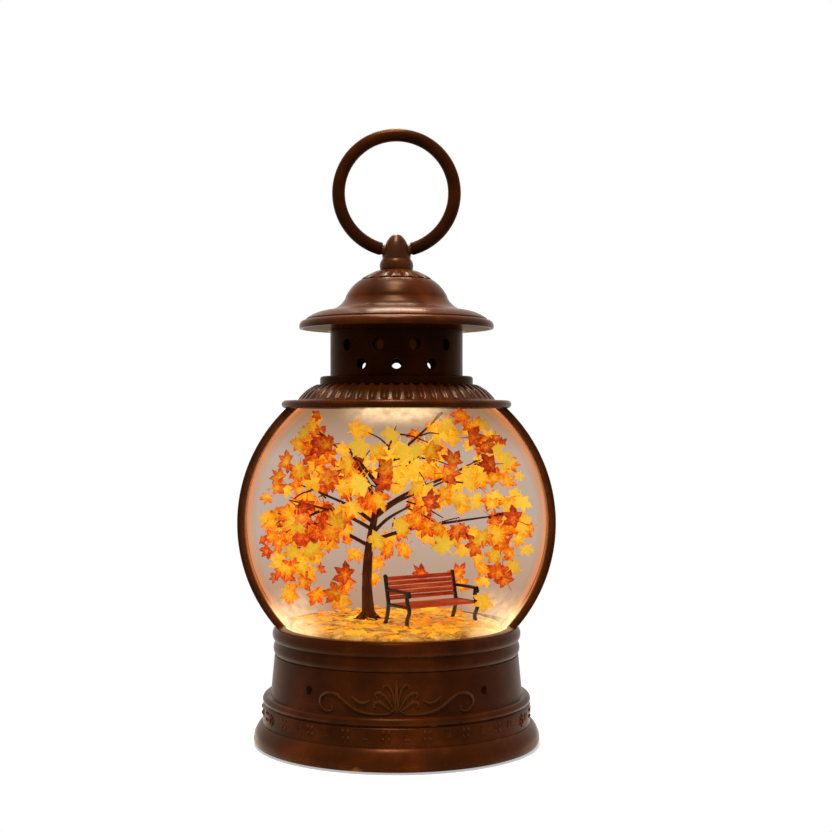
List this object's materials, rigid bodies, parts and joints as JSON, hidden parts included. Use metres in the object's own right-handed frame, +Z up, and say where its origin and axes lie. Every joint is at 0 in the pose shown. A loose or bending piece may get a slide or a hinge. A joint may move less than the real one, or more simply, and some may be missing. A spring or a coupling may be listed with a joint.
{
  "type": "lighted water globe",
  "caption": "Lantern-shaped water globe: a clear ball with an autumn tree and bench in a turned base, under a fluted shoulder, vented chimney and hooded cap with a swinging ring.",
  "frame": {"origin": "on the floor under the middle of the base", "axes": "+Z up along the lantern's axis, the front faces -Y, and the two straps stand on +X and -X"},
  "size_m": [0.1336, 0.1266, 0.2582],
  "materials": {
    "bronze_plastic": "satin bronze-brown paint with rubbed edges",
    "dark_bronze_plastic": "satin dark bronze-brown paint",
    "clear_glass": "clear and polished",
    "clear_plastic": "clear moulded",
    "steel": "plated",
    "black_plastic": "fine moulded grain",
    "grey_plastic": "moulded",
    "white_plastic": "moulded",
    "black_rubber": "matt",
    "leaf_litter": "painted resin, lit from below",
    "bark": "painted resin",
    "autumn_leaves": "painted yellow to red",
    "black_iron": "black paint",
    "bench_slat": "red-brown stain",
    "circuit_board": "white solder mask",
    "warm_lamp": "warm white lens",
    "cell_jacket": "plain jacket"
  },
  "bodies": {
    "lantern": {"finial": "bronze_plastic", "finial_nut": "steel", "scallop_collar": "bronze_plastic", "cap": "bronze_plastic", "chimney": "dark_bronze_plastic", "shoulder": "bronze_plastic", "globe_pad": "black_rubber", "globe": "clear_glass", "strap_left": "bronze_plastic", "strap_right": "bronze_plastic", "base_shell": "bronze_plastic", "globe_stopper": "clear_plastic", "stopper_seal": "black_rubber", "ground": "leaf_litter", "tree_trunk": "bark", "tree_leaves": "autumn_leaves", "drifting_leaves": "autumn_leaves", "bench_ends": "black_iron", "bench_slats": "bench_slat", "impeller_pin": "steel", "motor": "steel", "motor_bracket": "white_plastic", "bracket_screws": "steel", "led_board": "circuit_board", "led_lamps": "warm_lamp", "bottom_plate": "black_plastic", "plate_screws": "steel", "rubber_feet": "black_rubber", "battery_cells": "cell_jacket", "battery_contacts": "steel", "switch_body": "black_plastic"},
    "ring": {"ring_handle": "dark_bronze_plastic"},
    "door": {"battery_door": "black_plastic", "door_screw": "steel"},
    "knob": {"switch_knob": "grey_plastic"},
    "drive": {"motor_shaft": "steel", "magnet_drive": "black_plastic", "drive_magnets": "steel"},
    "impeller": {"impeller": "white_plastic"}
  },
  "joints": [
    {"name": "ring_swing", "type": "hinge", "parent": "lantern", "child": "ring", "pos_m": [0, 0, 0.20654], "axis": [1, 0, 0], "range_deg": [-122, 122]},
    {"name": "door_lift", "type": "slide", "parent": "lantern", "child": "door", "axis": [0, 0, -1], "range_m": [0, 0.015]},
    {"name": "switch_slide", "type": "slide", "parent": "lantern", "child": "knob", "axis": [1, 0, 0], "range_m": [0, 0.005]},
    {"name": "drive_spin", "type": "hinge", "parent": "lantern", "child": "drive", "pos_m": [0, 0, 0.03], "axis": [0, 0, 1], "continuous": true},
    {"name": "impeller_spin", "type": "hinge", "parent": "lantern", "child": "impeller", "pos_m": [0, 0, 0.044], "axis": [0, 0, 1], "continuous": true}
  ],
  "couplings": [
    {"joint": "impeller_spin", "follows": "drive_spin", "ratio": 1}
  ]
}
